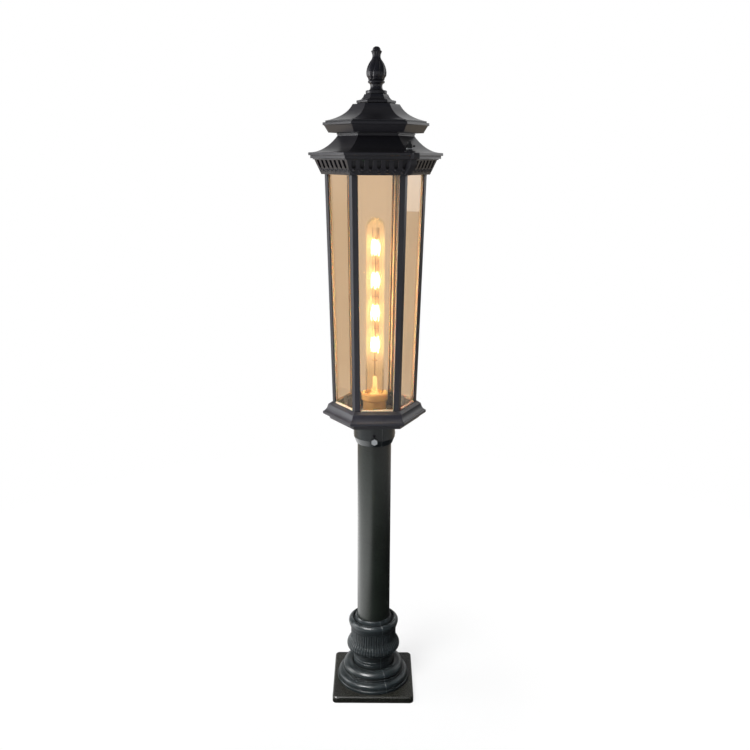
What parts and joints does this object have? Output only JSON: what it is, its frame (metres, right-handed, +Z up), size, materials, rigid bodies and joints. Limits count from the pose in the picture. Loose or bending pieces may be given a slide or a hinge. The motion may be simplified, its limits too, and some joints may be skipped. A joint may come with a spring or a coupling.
{
  "type": "floor_lamp",
  "caption": "Hexagonal pagoda lantern floor lamp: amber glazed lantern with a hinged two-tier roof and tubular bulb, on a round pole with a reeded collar, cast foot and square base plate.",
  "frame": {"origin": "centre of the underside of the base plate, on the floor, on the axis of the pole", "axes": "+Z up along the pole, -Y towards the front of the lamp (the side the picture shows), +X to the viewer's right"},
  "size_m": [0.2222, 0.2061, 1.15],
  "materials": {
    "plate_coat": "satin",
    "pole_coat": "gloss",
    "casting_coat": "satin",
    "lantern_coat": "satin",
    "finial_coat": "satin",
    "amber_glass": "clear",
    "bulb_glass": "clear",
    "glowing_wire": "glowing",
    "support_wire": "dull",
    "ceramic": "glazed",
    "brass": "bright",
    "contact_black": "matte",
    "zinc_steel": "satin",
    "spring_steel": "satin",
    "plain_steel": "satin",
    "black_oxide": "dark",
    "white_plastic": "gloss"
  },
  "bodies": {
    "base": {"base_plate": "plate_coat", "pole": "pole_coat", "base_casting": "casting_coat", "fluted_collar": "casting_coat", "collar_screws": "black_oxide"},
    "head": {"head_socket": "casting_coat", "socket_hex_screws": "zinc_steel", "socket_grub_screws": "black_oxide", "tray": "lantern_coat", "tray_bolts": "zinc_steel", "corner_post_1": "lantern_coat", "corner_post_2": "lantern_coat", "corner_post_3": "lantern_coat", "corner_post_4": "lantern_coat", "corner_post_5": "lantern_coat", "corner_post_6": "lantern_coat", "glass_pane_1": "amber_glass", "glass_pane_2": "amber_glass", "glass_pane_3": "amber_glass", "glass_pane_4": "amber_glass", "glass_pane_5": "amber_glass", "glass_pane_6": "amber_glass", "lower_clips": "spring_steel", "upper_clips": "spring_steel", "clip_screws": "zinc_steel", "frieze": "lantern_coat", "hinge_pin": "spring_steel", "holder_bracket": "plain_steel", "bracket_screws": "zinc_steel", "holder_nipple": "brass", "nipple_nut": "brass", "lamp_holder": "ceramic", "holder_shell": "brass", "holder_contact": "brass", "terminal_block": "white_plastic"},
    "roof": {"lower_roof": "lantern_coat", "upper_roof": "lantern_coat", "roof_bridge": "plain_steel", "tie_rod": "zinc_steel", "bridge_washer": "zinc_steel", "bridge_nut": "zinc_steel", "finial_base": "finial_coat", "finial_bud": "finial_coat"},
    "closure_collar": {"closure_washer": "plain_steel"},
    "closure": {"closure_screw": "black_oxide", "wing_nut": "black_oxide", "retaining_clip": "spring_steel"},
    "bulb": {"bulb_glass": "bulb_glass", "bulb_cap": "brass", "bulb_contact": "contact_black", "bulb_stem": "bulb_glass", "filament_support": "support_wire", "filament": "glowing_wire"}
  },
  "joints": [
    {"name": "head_swivel", "type": "hinge", "parent": "base", "child": "head", "pos_m": [0, 0, 0.5], "axis": [0, 0, 1], "range_deg": [-180, 180]},
    {"name": "roof_hinge", "type": "hinge", "parent": "head", "child": "roof", "pos_m": [-0.06458, 0.09756, 0.9795], "axis": [-0.8339, -0.5519, 0], "range_deg": [0, 95]},
    {"name": "closure_lift", "type": "slide", "parent": "roof", "child": "closure_collar", "axis": [0, 0, 1], "range_m": [0, 0.007]},
    {"name": "closure_turn", "type": "hinge", "parent": "closure_collar", "child": "closure", "pos_m": [0.05188, -0.07838, 0.99], "axis": [0, 0, 1], "range_deg": [0, 2520]},
    {"name": "bulb_turn", "type": "hinge", "parent": "head", "child": "bulb", "pos_m": [0, 0, 0.56], "axis": [0, 0, 1], "range_deg": [0, 1080]}
  ],
  "couplings": [
    {"joint": "closure_lift", "follows": "closure_turn", "m_per_rad": 0.00015915}
  ]
}
